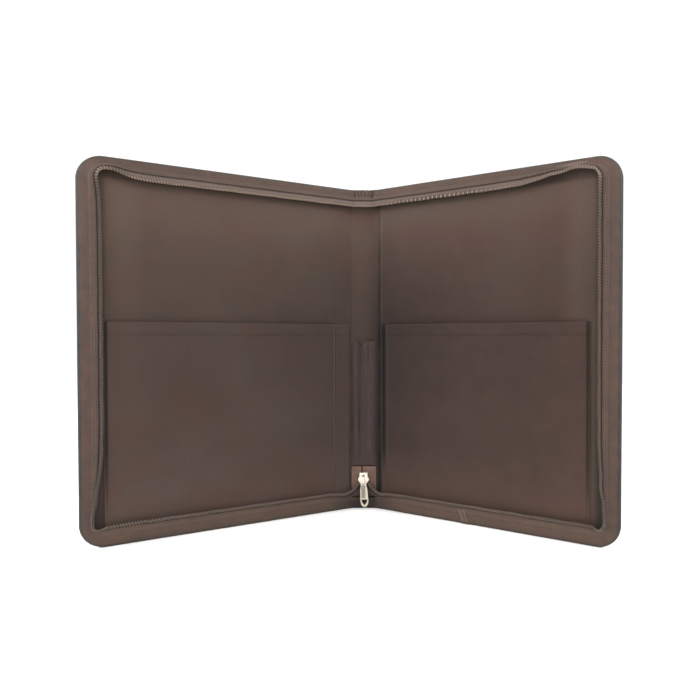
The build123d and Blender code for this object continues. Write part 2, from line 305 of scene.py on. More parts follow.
class Finish:
    """A procedural material: nodes that feed one Principled surface."""

    def __init__(self, name, **constants):
        self.material = bpy.data.materials.new(name)
        self.material.use_nodes = True
        self.tree = self.material.node_tree
        self.surface = self.tree.nodes["Principled BSDF"]
        for socket, value in constants.items():
            self.surface.inputs[socket.replace("_", " ")].default_value = value

    def feed(self, socket, value):
        if isinstance(value, bpy.types.NodeSocket):
            self.tree.links.new(value, socket)
        else:
            socket.default_value = value

    def node(self, kind, output=0, **inputs):
        """Adds a node. Names in lower case are its settings, the others are its sockets."""
        made = self.tree.nodes.new("ShaderNode" + kind)
        for key, value in inputs.items():
            if key[0].islower():
                setattr(made, key, value)
            else:
                self.feed(made.inputs[key.replace("_", " ")], value)
        return made.outputs[output]

    def math(self, operation, *values):
        made = self.tree.nodes.new("ShaderNodeMath")
        made.operation = operation
        for socket, value in zip(made.inputs, values):
            self.feed(socket, value)
        return made.outputs[0]

    def add(self, first, *others):
        """The sum of two or more values."""
        for value in others:
            first = self.math("ADD", first, value)
        return first

    def times(self, a, b):
        return self.math("MULTIPLY", a, b)

    def scaled(self, value, low, high):
        """A value from 0 to 1, moved to low to high."""
        return self.math("MULTIPLY_ADD", value, high - low, low)

    def mix(self, factor, a, b, blend="MIX"):
        made = self.tree.nodes.new("ShaderNodeMix")
        made.data_type = "RGBA"
        made.blend_type = blend
        # the node has sockets of the same names for numbers and vectors before these
        for index, value in ((0, factor), (6, a), (7, b)):
            self.feed(made.inputs[index], value)
        return made.outputs[2]

    def mark(self, name):
        """One of the mesh's own values, such as tone or warm."""
        return self.node("Attribute", attribute_name=name).node.outputs["Fac"]

    def noise(self, where, size, detail=3.0, roughness=0.55):
        """Cloudy noise with features of that size in metres."""
        return self.node("TexNoise", Vector=where, Scale=1 / size, Detail=detail, Roughness=roughness)

    def split(self, vector):
        """The x, y and z of a vector."""
        return tuple(self.node("SeparateXYZ", Vector=vector).node.outputs)

    def stretched(self, where, x, y, z=1.0):
        """Coordinates scaled along each axis."""
        return self.node("Mapping", Vector=where, Scale=(x, y, z))

    def shade(self, colour, amount):
        """A colour made darker or lighter by a value round 1."""
        grey = self.node("CombineColor", Red=amount, Green=amount, Blue=amount)
        return self.mix(1.0, colour, grey, "MULTIPLY")

    def done(self, colour, roughness, height, depth, strength=1.0):
        bump = self.node("Bump", Height=height, Distance=depth, Strength=strength)
        self.feed(self.surface.inputs["Base Color"], colour)
        self.feed(self.surface.inputs["Roughness"], roughness)
        self.feed(self.surface.inputs["Normal"], bump)
        return self.material


def srgb(red, green, blue):
    """A colour as seen on a screen, 0 to 255, as linear values."""
    return tuple(((v / 255 + 0.055) / 1.055) ** 2.4 for v in (red, green, blue)) + (1.0,)


def leather(name, cool, warm, grain=1.5 * MM, gloss=0.5):
    """Grained leather: creases between pebbles, pores, soft folds and patches."""
    f = Finish(name, Specular_IOR_Level=0.3, Sheen_Weight=0.03, Sheen_Roughness=0.5)
    where = f.node("TexCoord", output=BY_PLACE)
    bent = f.mix(1.2 * MM, where, f.noise(where, 4 * MM, 2), "ADD")
    pebble = f.node("TexVoronoi", feature="DISTANCE_TO_EDGE", Vector=bent, Scale=1 / grain)
    pebbles = f.math("MINIMUM", f.times(pebble, 4.0), 1.0)
    pores = f.noise(where, 0.5 * MM, 2)
    folds = f.noise(where, 9 * MM, 4, 0.6)
    patches = f.noise(where, 60 * MM, 4, 0.6)
    amount = f.add(
        f.scaled(patches, 0.7, 1.24),
        f.scaled(pebbles, -0.16, 0.05),
        f.scaled(folds, -0.42, 0.42),
        f.mark("tone"),
    )
    blend = f.add(f.mark("warm"), f.scaled(folds, -1.0, 1.0))
    colour = f.shade(f.mix(blend, cool, warm), amount)
    rough = f.add(f.scaled(patches, gloss - 0.08, gloss + 0.14), f.scaled(pebbles, 0.08, 0))
    height = f.add(f.scaled(pebbles, 0, 0.55), f.scaled(pores, 0, 0.3), f.scaled(folds, 0, 1.6))
    return f.done(colour, rough, height, 0.26 * MM, 0.9)


TWILL_WIDTH = 2.6 * MM  # between the ribs of the tape's twill, across it
TWILL_LEAN = 0.9 * MM  # along the tape for each radian of a rib


def cloth(name, colour_a, colour_b, thread=0.8 * MM, relief=0.16 * MM, twill=0.0):
    """Crossing threads of uneven thickness, with slubs and faint patches; twill adds slanted ribs."""
    f = Finish(name, Specular_IOR_Level=0.2, Sheen_Weight=0.15, Sheen_Roughness=0.45)
    uv = f.node("TexCoord", output=BY_UV)
    u, v, _ = f.split(uv)
    turns = math.pi / thread
    warp = f.math("SINE", f.times(u, turns))
    weft = f.math("SINE", f.times(v, turns))
    over = f.math("GREATER_THAN", f.times(warp, weft), 0.0)
    lift = f.math("ABSOLUTE", warp)
    cross = f.math("ABSOLUTE", weft)
    height = f.node("Mix", output=0, data_type="FLOAT", Factor=over, A=lift, B=cross)
    slub_up = f.noise(f.stretched(uv, 1 / thread, 0.02 / thread), 1.0, 2)
    slub_across = f.noise(f.stretched(uv, 0.02 / thread, 1 / thread), 1.0, 2)
    slubs = f.add(slub_up, slub_across)
    patches = f.noise(uv, 70 * MM, 3, 0.5)
    clouds = f.noise(uv, 20 * MM, 4, 0.6)
    fuzz = f.noise(uv, 1.6 * MM, 3)
    amount = f.add(
        f.scaled(slubs, 0.80, 1.0),
        f.scaled(height, -0.14, 0.07),
        f.scaled(fuzz, -0.14, 0.14),
        f.scaled(clouds, -0.26, 0.26),
        f.mark("tone"),
    )
    if twill:
        ribs = f.times(u, 2 * math.pi / TWILL_WIDTH)
        slant = f.math("MULTIPLY_ADD", v, 1 / TWILL_LEAN, ribs)
        amount = f.add(amount, f.times(f.math("SINE", slant), twill))
    blend = f.add(f.scaled(patches, -0.5, 1.5), f.mark("warm"), f.scaled(clouds, -0.8, 0.8))
    colour = f.shade(f.mix(blend, colour_a, colour_b), amount)
    rough = f.scaled(fuzz, 0.72, 0.92)
    return f.done(colour, rough, f.add(height, f.scaled(slubs, 0, 0.8)), relief, 0.6)


def plastic(name, colour, gloss):
    """Nylon for the coil, and waxed thread: faint streaks and uneven sheen."""
    f = Finish(name, Specular_IOR_Level=0.3)
    where = f.node("TexCoord", output=BY_PLACE)
    streaks = f.noise(where, 1.1 * MM, 3)
    patches = f.noise(where, 25 * MM, 3)
    amount = f.add(f.scaled(streaks, 0.85, 1.12), f.scaled(patches, -0.12, 0.12), f.mark("tone"))
    rough = f.scaled(streaks, gloss - 0.1, gloss + 0.12)
    return f.done(f.shade(colour, amount), rough, streaks, 0.06 * MM)


def metal(name, colour, gloss):
    """Plated zinc: brushed, a little tarnished."""
    f = Finish(name, Metallic=1.0)
    where = f.node("TexCoord", output=BY_PLACE)
    brushed = f.noise(f.stretched(where, 1, 1, 0.12), 0.35 * MM, 2)
    tarnish = f.noise(where, 4 * MM, 4, 0.6)
    amount = f.add(f.scaled(tarnish, 0.84, 1.06), f.scaled(brushed, -0.04, 0.04))
    rough = f.add(f.scaled(tarnish, gloss - 0.08, gloss + 0.14), f.scaled(brushed, -0.05, 0.05))
    return f.done(f.shade(colour, amount), rough, brushed, 0.03 * MM)


# The pull's sunk panel: half its width and height, where its middle is above the pull's lower
# end, and its knurling in radians to the metre
PANEL_HALF_WIDTH = 2.2 * MM
PANEL_HALF_HEIGHT = 7.0 * MM
PANEL_MIDDLE = 16.4 * MM
KNURL = 9000.0


def panelled(name, colour, gloss, middle_z):
    """The pull's metal, darker and finely knurled on its sunk panel."""
    f = Finish(name, Metallic=1.0)
    where = f.node("TexCoord", output=BY_PLACE)
    x, _, z = f.split(where)
    across = f.math("LESS_THAN", f.math("ABSOLUTE", x), PANEL_HALF_WIDTH)
    above = f.math("ABSOLUTE", f.math("SUBTRACT", z, middle_z))
    panel = f.times(across, f.math("LESS_THAN", above, PANEL_HALF_HEIGHT))
    rising = f.math("SINE", f.times(f.add(x, z), KNURL))
    falling = f.math("SINE", f.times(f.math("SUBTRACT", x, z), KNURL))
    knurl = f.times(f.add(rising, falling), panel)
    tarnish = f.noise(where, 3 * MM, 4, 0.6)
    amount = f.add(f.scaled(tarnish, 0.86, 1.08), f.scaled(panel, 0, -0.34), f.scaled(knurl, 0, 0.07))
    rough = f.add(f.scaled(tarnish, gloss - 0.08, gloss + 0.14), f.scaled(panel, 0, 0.14))
    return f.done(f.shade(colour, amount), rough, knurl, 0.08 * MM)


def card(name, colour):
    """Pressed fibre board."""
    f = Finish(name, Specular_IOR_Level=0.2)
    flecks = f.noise(f.node("TexCoord", output=BY_PLACE), 0.7 * MM, 4, 0.7)
    shaded = f.shade(colour, f.scaled(flecks, 0.8, 1.15))
    return f.done(shaded, f.scaled(flecks, 0.8, 0.95), flecks, 0.1 * MM)


COVER_LEATHER = leather("cover_leather", srgb(52, 42, 36), srgb(59, 41, 32))
BAND_LEATHER = leather("band_leather", srgb(53, 40, 32), srgb(59, 39, 29), 1.3 * MM)
TAB_LEATHER = leather("tab_leather", srgb(90, 71, 60), srgb(100, 73, 62), 1.0 * MM, 0.45)
LINING = cloth("lining_cloth", srgb(59, 49, 42), srgb(57, 41, 35))
POCKET = cloth("pocket_cloth", srgb(56, 46, 41), srgb(53, 38, 32))
SLEEVE = cloth("sleeve_cloth", srgb(56, 44, 42), srgb(51, 39, 37), 0.7 * MM)
TAPE = cloth("zip_tape_weave", srgb(84, 74, 68), srgb(77, 64, 58), 0.6 * MM, 0.2 * MM, 0.28)
COIL = plastic("coil_nylon", srgb(112, 95, 84), 0.45)
THREAD = plastic("thread", srgb(122, 108, 99), 0.6)
DARK_THREAD = plastic("dark_thread", srgb(80, 68, 61), 0.65)
NICKEL = metal("plated_metal", srgb(218, 210, 195), 0.3)
PANEL_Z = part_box("pull_tab")[0].z + PANEL_MIDDLE
PULL_METAL = panelled("pull_metal", srgb(202, 193, 177), 0.36, PANEL_Z)
BOARD = card("fibre_board", srgb(96, 87, 77))


# ---- Outer leather ----
def cover_grid(columns, rows, inset):
    """A grid over one half, from the middle of the spine to its rounded corners."""
    reach = FORE - inset
    radius = CORNER - inset
    share = np.linspace(0, 1, columns)
    s = np.where(share < 0.8, share / 0.8 * (reach - radius), 0)
    bow = (share - 0.8) / 0.2 * math.pi / 2
    s = np.where(share < 0.8, s, reach - radius + radius * np.sin(np.clip(bow, 0, None)))
    over = np.clip((s - reach + radius) / radius, 0, 1)
    cut = radius * (1 - np.sqrt(np.clip(1 - over**2, 0, 1)))
    low = inset + cut
    high = HEIGHT - inset - cut
    share_z = (1 - np.cos(np.linspace(0, math.pi, rows))) / 2
    share_z = 0.45 * share_z + 0.55 * np.linspace(0, 1, rows)
    z = low[:, None] + (high - low)[:, None] * share_z[None, :]
    s = np.broadcast_to(s[:, None], z.shape)
    return s, z


def from_edge(s, z):
    """How far in from the rounded edge a place is."""
    over_s = s - (FORE - CORNER)
    over_z = np.abs(z - HEIGHT / 2) - (HEIGHT / 2 - CORNER)
    corner = np.hypot(np.clip(over_s, 0, None), np.clip(over_z, 0, None))
    return CORNER - corner - np.minimum(np.maximum(over_s, over_z), 0)


CREASE = 2.2 * MM  # the skin is creased this far to each side of a fold line


def make_outer_leather(name, side):
    """The skin over one cover and half the spine, with creased folds and stitched edges."""
    s, z = cover_grid(120, 110, 0.35 * MM)
    r = from_edge(s, z)
    pad = 0.15 * MM * np.sin(s / (23 * MM) + side) * np.sin(z / (31 * MM))
    pad = pad * smooth(r / (30 * MM)) * ramp(s, FOLD, 30 * MM)
    crease = 0.45 * MM * (hump(s, FOLD - CREASE, 1.3 * MM) + hump(s, FOLD + CREASE, 1.3 * MM))
    seam = 0.2 * MM * (hump(s, SEAM[side], 0.7 * MM) + hump(r, EDGE_SEAM, 0.7 * MM))
    rolled = 0.75 * MM * np.clip(1 - r / (3 * MM), 0, 1) ** 2
    front = skin(side, s, z, crease + seam + rolled + pad - HALF_LEATHER)
    back = skin(side, s, z, HALF_LEATHER - 0.1 * MM)
    # painted shade in the two creases beside the fold, a lighter line along the fold, and painted shade
    # on the rolled outer edge
    tone = -0.16 * (hump(s, FOLD - CREASE, 1.6 * MM) + hump(s, FOLD + CREASE, 1.6 * MM))
    tone = tone - 0.5 * fall(r, 1.3 * MM, 0.9 * MM) + 0.1 * hump(s, FOLD, 1.5 * MM)
    warm = 0.35 + 0.2 * smooth(r / (60 * MM))
    uv = grid_uv(side * s, z)
    made = slab(f"{name}_cover_skin", front, back, uv, COVER_LEATHER, tone=tone, warm=warm)
    cross_fold(made, name, "cover_leather", f"{name}_outer_leather", "spine_outer_leather")



# ---- Leather strip round the open edges ----
# The strip's section, as (in from the edge, n) in millimetres: up its wall, over to the
# thicker turned edge, and back underneath
BAND_SECTION = np.array([
    (1.4, 0.7), (0.7, 0.45), (0.22, 0.9), (0.02, 2.0), (0.1, 3.4), (0.6, 4.7), (1.5, 5.6),
    (2.8, 6.3), (3.7, 6.74), (4.6, 7.1), (5.6, 7.5), (6.6, 7.85), (7.5, 8.15), (8.4, 8.4), (9.3, 8.65),
    (9.75, 9.0), (10.4, 9.35), (11.5, 9.7), (12.3, 9.82), (12.7, 9.8), (13.1, 9.95), (14.2, 10.2),
    (15.0, 10.2), (15.45, 9.95),
    (15.6, 9.5), (15.4, 9.05), (14.8, 8.75), (12.6, 8.2), (9.9, 7.3), (7.0, 6.75), (4.4, 5.7),
    (2.5, 4.7), (1.5, 3.5), (1.3, 2.0),
]) * MM
BAND_ACROSS = np.concatenate([[0], np.cumsum(np.linalg.norm(np.diff(BAND_SECTION, axis=0), axis=1))])
ON_TOP = 25  # the points of the section before it turns back underneath
RIM = 15.6 * MM  # how far in the plain section reaches
TURNED_EDGE = 9.3 * MM  # and where its turned edge begins
TAPE_UNDER = 8.6 * MM  # n of the tape where the strip's edge covers it
# Values for the top, fore and low edges and the foot: how far in the strip reaches and how high
# it stands, as shares of the plain section, then the place and the height of the zip's coil
SPREAD = {-1: (0.83, 1.02, 1.1, 0.8), 1: (0.83, 1.0, 1.1, 0.8)}
STAND = (1.14, 1.0, 0.66, 0.56)
COIL_R = {
    -1: (18.3 * MM, 18.1 * MM, 19.4 * MM, 16.8 * MM),
    1: (18.3 * MM, 17.3 * MM, 19.4 * MM, 16.8 * MM),
}
COIL_N = (12.1 * MM, 11.6 * MM, 9.2 * MM, 9.2 * MM)
# The strip's painted light and shade on each edge, its colour, the painted shade on its rim, and the
# painted shade at the step of its turned edge
BAND_TONE = {-1: (0.2, 0, 0.62, -0.15), 1: (0.34, 0, 0.8, -0.15)}
BAND_WARM = (-0.5, 0, -0.6, -0.6)
BAND_RIM = (0.6, 0.45, 0.25, 0.5)
BAND_STEP = {-1: 0.12, 1: 0.3}
# The pleats at the top of the spine: where they end, and their width for each radian
PLEATS_END = {-1: 14 * MM, 1: 20 * MM}
PLEAT = {-1: 0.5 * MM, 1: 0.62 * MM}


def shift(t, side):
    """How far the zip's line moves in from its usual place, and up, at t."""
    dipped = dip(t, side)
    inwards = -dipped + 0.45 * MM * ripple(t, side) * (0.5 + dipped / (6 * MM))
    upwards = 0.06 * dipped + 0.16 * MM * ripple(t + 9 * MM, side)
    return inwards, upwards


def strip_place(t, r, n, side):
    """Moves a place of the strip's plain section to where it lies at t."""
    held = np.clip((r - 4 * MM) / (15.5 * MM), 0, 1) ** 2
    inwards, upwards = shift(t, side)
    return (
        r * along_edges(t, *SPREAD[side]) + inwards * held,
        n * along_edges(t, *STAND) + upwards * held,
    )


def gathered(t, side):
    """1 where the strip is gathered at the top of the spine, 0 beyond."""
    return fall(t, PLEATS_END[side], 5 * MM)


def gathers(t, r, side):
    """Pleats where the strip turns the corner at the top of the spine."""
    slant = 0.12 if side < 0 else 0.5 * ramp(t, 4 * MM, 8 * MM)
    wave = np.sin((t + r * slant) / PLEAT[side] + 0.7 * np.sin(t / (1.9 * MM)) + side)
    return wave * gathered(t, side)


def band_points(side, t, end_lift=None):
    """Rings of the leather strip at the distances t."""
    r = BAND_SECTION[None, :, 0]
    n = BAND_SECTION[None, :, 1]
    row = t[:, None]
    across, above = strip_place(row, r, n, side)
    swell = 0.3 * MM * np.sin(row / (11 * MM) + 3 * side) * np.sin(r / (5 * MM))
    above = above + swell * smooth(r / (3 * MM)) * (1 - along_edges(row, 0, 0, 0, 1))
    pleat = 0.55 * MM * gathers(row, r, side)
    above = above + pleat * ramp(r, 0.3 * MM, 2 * MM) * fall(r, 13.5 * MM, 4 * MM)
    across = across - pleat * hump(r, 0, 1.5 * MM) * 0.6
    if end_lift is not None:
        above = above + end_lift[:, None]
        row = row + (end_lift[:, None] / (1.1 * MM)) * (r - 8 * MM) * 0.3
    return edge_skin(side, row, across, above)


def band_marks(t, side):
    """Colour of the strip: a greyer wall and a warm crown, with painted shade on its outer edge, wall,
    underside, step and pleats, and a painted highlight on its turned edge.
    """
    r = BAND_SECTION[None, :, 0]
    row = t[:, None]
    on_top = (np.arange(len(BAND_SECTION)) < ON_TOP)[None, :]
    # painted highlight on the turned edge and its rim, painted shade at its step and on the outer edge
    tone = 0.16 * ramp(r, 9.2 * MM, 1.6 * MM)
    tone = tone - BAND_STEP[side] * hump(r, TURNED_EDGE, 0.6 * MM)
    tone = tone - 0.55 * fall(r, 3 * MM, 1.5 * MM) + 0.08 * hump(r, 15.3 * MM, 0.6 * MM)
    # painted shade on the wall, and under the strip where it turns back
    rim = fall(BAND_ACROSS[None, :], 4.6 * MM, 1.6 * MM)
    tone = np.where(on_top, tone - along_edges(row, *BAND_RIM) * rim, -0.4)
    # painted shade in the valleys of the pleats, a little painted light on their ridges
    wave = gathers(row, r, side) * fall(r, 13.5 * MM, 3 * MM)
    tone = tone + 0.7 * np.minimum(wave, 0.2)
    # painted light and shade for each edge, and a painted shadow at the foot
    tone = tone + along_edges(row, *BAND_TONE[side]) - 0.3 * hump(ROUND - row, 0, 9 * MM)
    warm = 0.15 + 0.8 * hump(r, 7.5 * MM, 3.4 * MM) - 0.5 * gathered(row, side)
    return tone, warm + along_edges(row, *BAND_WARM)


def make_band(name, side, label, start, end, nodes, end_lift=None):
    """A length of the strip, from the distance start to end."""
    t = np.linspace(start, end, int((end - start) / (1.6 * MM)))
    if start == 0:
        # more rings where the pleats are
        t = np.concatenate([np.linspace(0, 16 * MM, 60), t[t > 16.3 * MM]])
    lift = None if end_lift is None else end_lift(t)
    tone, warm = band_marks(t, side)
    rings = band_points(side, t, lift)
    made = strip(f"{name}_{label}", rings, t, BAND_ACROSS, BAND_LEATHER, tone=tone, warm=warm)
    cross_fold(made, name, "gusset_leather", *nodes)


def band_surface(side, t, r):
    """Points on the strip's top face, at the distances t and r in, with its two directions."""
    top = BAND_SECTION[2:ON_TOP - 2]
    n = np.interp(r, top[:, 0], top[:, 1])

    def at(t, r, n):
        return edge_skin(side, t, *strip_place(t, r, n, side))

    step = 0.3 * MM
    here = at(t, r, n)
    along = at(t + step, r, n) - here
    across = at(t, r + step, np.interp(r + step, top[:, 0], top[:, 1])) - here
    out = at(t, r, n + step) - here
    return here, along, across, out


JOIN = ROUND - FOLD - 106 * MM  # the overlapped join in the right strip, on the bottom edge


def join_lift(t):
    """The end of the strip rises over the piece that it is sewn to."""
    return 1.1 * MM * ramp(t, JOIN - 12 * MM, 7 * MM)


# ---- Zip ----
TAIL_START = ROUND - FOLD - 13.5 * MM  # where each coil leaves the edge for the slider
SLIDER_MOUTH = (4.3 * MM, -0.9 * MM, 4.2 * MM)  # where it ends in the slider's body


class ZipLine:
    """The line of one coil, from the middle of the spine's top round to the slider's mouth."""

    def __init__(self, side):
        self.side = side
        t = np.arange(0, TAIL_START, 1.0 * MM)
        inwards, upwards = shift(t, side)
        self.t = t
        self.r = along_edges(t, *COIL_R[side]) + inwards
        self.n = along_edges(t, *COIL_N) + upwards
        centre = edge_skin(side, t, self.r, self.n)
        inward = unit(edge_skin(side, t, self.r + STEP, self.n) - centre)
        outward = unit(edge_skin(side, t, self.r, self.n + STEP) - centre)
        low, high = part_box("slider_body")
        aside, forward, up = SLIDER_MOUTH
        goal = np.array([side * aside, (low.y + high.y) / 2 + forward, low.z + up])
        start = centre[-1]
        leaving = unit(centre[-1] - centre[-4]) * 17 * MM
        arriving = unit(np.array([-side * 0.55, 0.1, 1.0])) * 15 * MM
        k = np.linspace(0, 1, 26)[1:, None]
        tail = (2 * k**3 - 3 * k**2 + 1) * start + (k**3 - 2 * k**2 + k) * leaving
        tail = tail + (3 * k**2 - 2 * k**3) * goal + (k**3 - k**2) * arriving
        ease = smooth(k)
        goal_in = unit(np.array([side * 0.8, 0.0, 0.6]))
        tail_in = unit(inward[-1] * (1 - ease) + goal_in * ease)
        tail_out = unit(outward[-1] * (1 - ease) + np.array([0, -1.0, 0]) * ease)
        self.perimeter = len(t)
        self.ease = np.concatenate([np.zeros(len(t)), ease[:, 0]])
        self.centre = np.concatenate([centre, tail])
        self.inward = np.concatenate([inward, tail_in])
        self.outward = np.concatenate([outward, tail_out])
        steps = np.linalg.norm(np.diff(self.centre, axis=0), axis=1)
        self.length = np.concatenate([[0], np.cumsum(steps)])

    def sample(self, distance):
        """Centre, inward and outward directions at distances along the line."""
        picked = []
        for values in (self.centre, self.inward, self.outward):
            axes = [np.interp(distance, self.length, values[:, i]) for i in range(3)]
            picked.append(np.stack(axes, axis=-1))
        return picked[0], unit(picked[1]), unit(picked[2])


def make_tape(name, zip_line):
    """The woven tape, from under the strip's edge to the coil."""
    side = zip_line.side
    count = 12
    share = np.linspace(0, 1, count)[None, :]
    rim_r, rim_n = strip_place(zip_line.t, RIM - 0.6 * MM, TAPE_UNDER, side)
    hidden = np.stack([rim_r - 3.8 * MM, rim_n - 1.5 * MM], axis=-1)[:, None]
    knee = np.stack([rim_r + 0.6 * MM, rim_n - 0.1 * MM], axis=-1)[:, None]
    lip = np.stack([zip_line.r + 0.9 * MM, zip_line.n - 1.15 * MM], axis=-1)[:, None]
    w = share[..., None]
    line = (1 - w) ** 2 * hidden + 2 * w * (1 - w) * knee + w**2 * lip
    offsets = line - np.stack([zip_line.r, zip_line.n], axis=-1)[:, None]
    last = offsets[-1:]
    mouth = np.stack([-4.6 * MM + 5.6 * MM * share[0], np.full(count, -1.1 * MM)], axis=-1)[None]
    ease = zip_line.ease[zip_line.perimeter:, None, None]
    offsets = np.concatenate([offsets, last * (1 - ease) + mouth * ease])
    slope = unit(np.gradient(offsets, axis=1))
    normal = np.stack([-slope[..., 1], slope[..., 0]], axis=-1)
    rib = 0.06 * MM * np.sin(share * 6 * math.pi)[..., None]
    upper = offsets + normal * (0.3 * MM + rib)
    lower = (offsets - normal * 0.3 * MM)[:, ::-1]
    section = np.concatenate([upper, lower], axis=1)
    rings = (
        zip_line.centre[:, None]
        + zip_line.inward[:, None] * section[..., :1]
        + zip_line.outward[:, None] * section[..., 1:]
    )
    across = np.concatenate([share[0], 2 - share[0]]) * 9.5 * MM
    # painted shade on the tape under the strip's edge and by the coil, more on its underside
    dark = -0.35 * hump(share[0], 0.4, 0.14) - 0.55 * smooth((share[0] - 0.72) / 0.1)
    tone = np.broadcast_to(np.concatenate([dark, dark[::-1] - 0.2]), rings.shape[:2])
    place = np.interp(zip_line.length, zip_line.length[:zip_line.perimeter], zip_line.t)
    # painted light on the top edge, painted shade on the low edge and at the foot
    tone = tone + along_edges(place, 0.34, -0.05, -0.5, -0.4)[:, None]
    made = strip(f"{name}_tape_weave", rings, zip_line.length, across, TAPE, tone=tone)
    nodes = (f"{name}_zip_tape", f"{name}_tail_tape", "spine_top_tape")
    return cross_fold(made, name, "zip_tape", *nodes)


COIL_PITCH = 2.5 * MM
TURN_POINTS = 12  # points of the coil's thread in one turn
CORD_EVERY = 6  # the cord inside takes every sixth of them
COIL_HALF_WIDTH = 1.25 * MM
COIL_HALF_HEIGHT = 0.72 * MM
TOOTH_RADIUS = 0.46 * MM
CORD_HALF_WIDTH = 0.85 * MM
CORD_HALF_HEIGHT = 0.34 * MM
# The coil's painted light and shade on the top, fore and low edges and the foot, and how bright the
# painted highlights on its tips are
COIL_TONE = {-1: (-0.3, -0.62, -0.55, -0.4), 1: (-0.3, -0.5, -0.55, -0.4)}
COIL_LIT = (1.5, 0.1, 0.7, 0.6)


def coil_tone(place, angle, side):
    """Painted highlights on the tips of the coil's turns; by the spine on the right, on every second
    one.
    """
    inner = along_edges(place, 1, 0, 0.4, 0)
    crest = hump(np.cos(angle), -0.35, 0.35) * (np.sin(angle) > 0) * (1 - inner)
    crest = crest + (0.5 + 0.5 * np.cos(angle)) ** 2 * inner
    tone = along_edges(place, *COIL_TONE[side]) + crest * along_edges(place, *COIL_LIT)
    # painted glints where the coil turns the top and low corners
    tone = tone + 0.4 * hump(place, STRAIGHT + ARC / 2, 12 * MM)
    tone = tone + 0.5 * hump(place, ROUND - STRAIGHT - ARC / 2, 10 * MM)
    if side < 0:
        # painted shade where the left coil is seen edge on before its top corner
        return tone - 0.4 * hump(place, STRAIGHT - 12 * MM, 9 * MM)
    every_second = (0.5 + 0.5 * np.cos(angle / 2)) ** 2
    return tone + hump(place, FOLD + 78 * MM, 58 * MM) * (2.4 * every_second - 0.9)


def make_thread(name, middles, first, second, distance, tone):
    """A five-sided thread of nylon; first and second are its half widths, as directions."""
    around = np.arange(5) * 2 * math.pi / 5
    rings = middles[:, None] + first[:, None] * np.cos(around)[None, :, None]
    rings = rings + second[:, None] * np.sin(around)[None, :, None]
    return strip(name, rings, distance, np.linspace(0, 2 * MM, 5), COIL, tone=tone[:, None])


def make_coil(name, zip_line):
    """The coil: a thread wound in a flattened helix round a flat cord."""
    total = zip_line.length[-1]
    distance = np.linspace(0, total, int(total / COIL_PITCH) * TURN_POINTS)
    centre, inward, outward = zip_line.sample(distance)
    along = unit(np.gradient(centre, axis=0))
    angle = distance / COIL_PITCH * 2 * math.pi
    spoke = inward * np.cos(angle)[:, None] * COIL_HALF_WIDTH
    spoke = spoke + outward * np.sin(angle)[:, None] * COIL_HALF_HEIGHT
    out = unit(spoke)
    place = np.interp(distance, zip_line.length[:zip_line.perimeter], zip_line.t)
    tone = coil_tone(place, angle, zip_line.side)
    line = centre + spoke
    teeth = make_thread(
        f"{name}_coil_teeth", line, TOOTH_RADIUS * out, TOOTH_RADIUS * along, distance, tone
    )
    nodes = (f"{name}_zip_coil", f"{name}_tail_coil", "spine_top_coil")
    cross_fold(teeth, name, "zip_coil", *nodes)
    some = slice(None, None, CORD_EVERY)
    wide = CORD_HALF_WIDTH * inward[some]
    high = -CORD_HALF_HEIGHT * outward[some]
    # the cord inside the coil gets painted shade
    cord = make_thread(
        f"{name}_coil_cord", centre[some], wide, high, distance[some], tone[some] - 0.35
    )
    cross_fold(cord, name, "zip_coil")


def sew_coil(name, zip_line):
    """The two sewing threads over the coil."""
    distance = np.arange(2 * MM, zip_line.length[-1] - 2 * MM, COIL_PITCH)
    centre, inward, outward = zip_line.sample(distance)
    along = unit(np.gradient(centre, axis=0))
    rows = [centre + inward * offset * MM + outward * 1.12 * MM for offset in (-0.55, 0.5)]
    both = [np.concatenate(parts) for parts in (rows, (along, along), (outward, outward))]
    made = stitches(f"{name}_coil_threads", *both, DARK_THREAD, 1.2 * MM, 0.2 * MM)
    cross_fold(made, name, "zip_coil")



# ---- Lining, pockets and pen sleeve ----
TRIM = 1.7 * MM  # the lining stops this far in from the edge
TUCK_IN = 2.7 * MM  # and is drawn down this far in from the stitches beside the spine
TUCK = {-1: 0.12, 1: 1.0}  # mostly on the right half
# On each half: how much painted shade the lining has in under the strip, low down, by the spine, and on
# the spine
UNDER_STRIP = {-1: 0.4, 1: 0.46}
LOW_DOWN = {-1: 0.09, 1: 0.13}
BY_SPINE = {-1: 0.2, 1: 0.36}
ON_SPINE = {-1: 0.0, 1: 0.2}


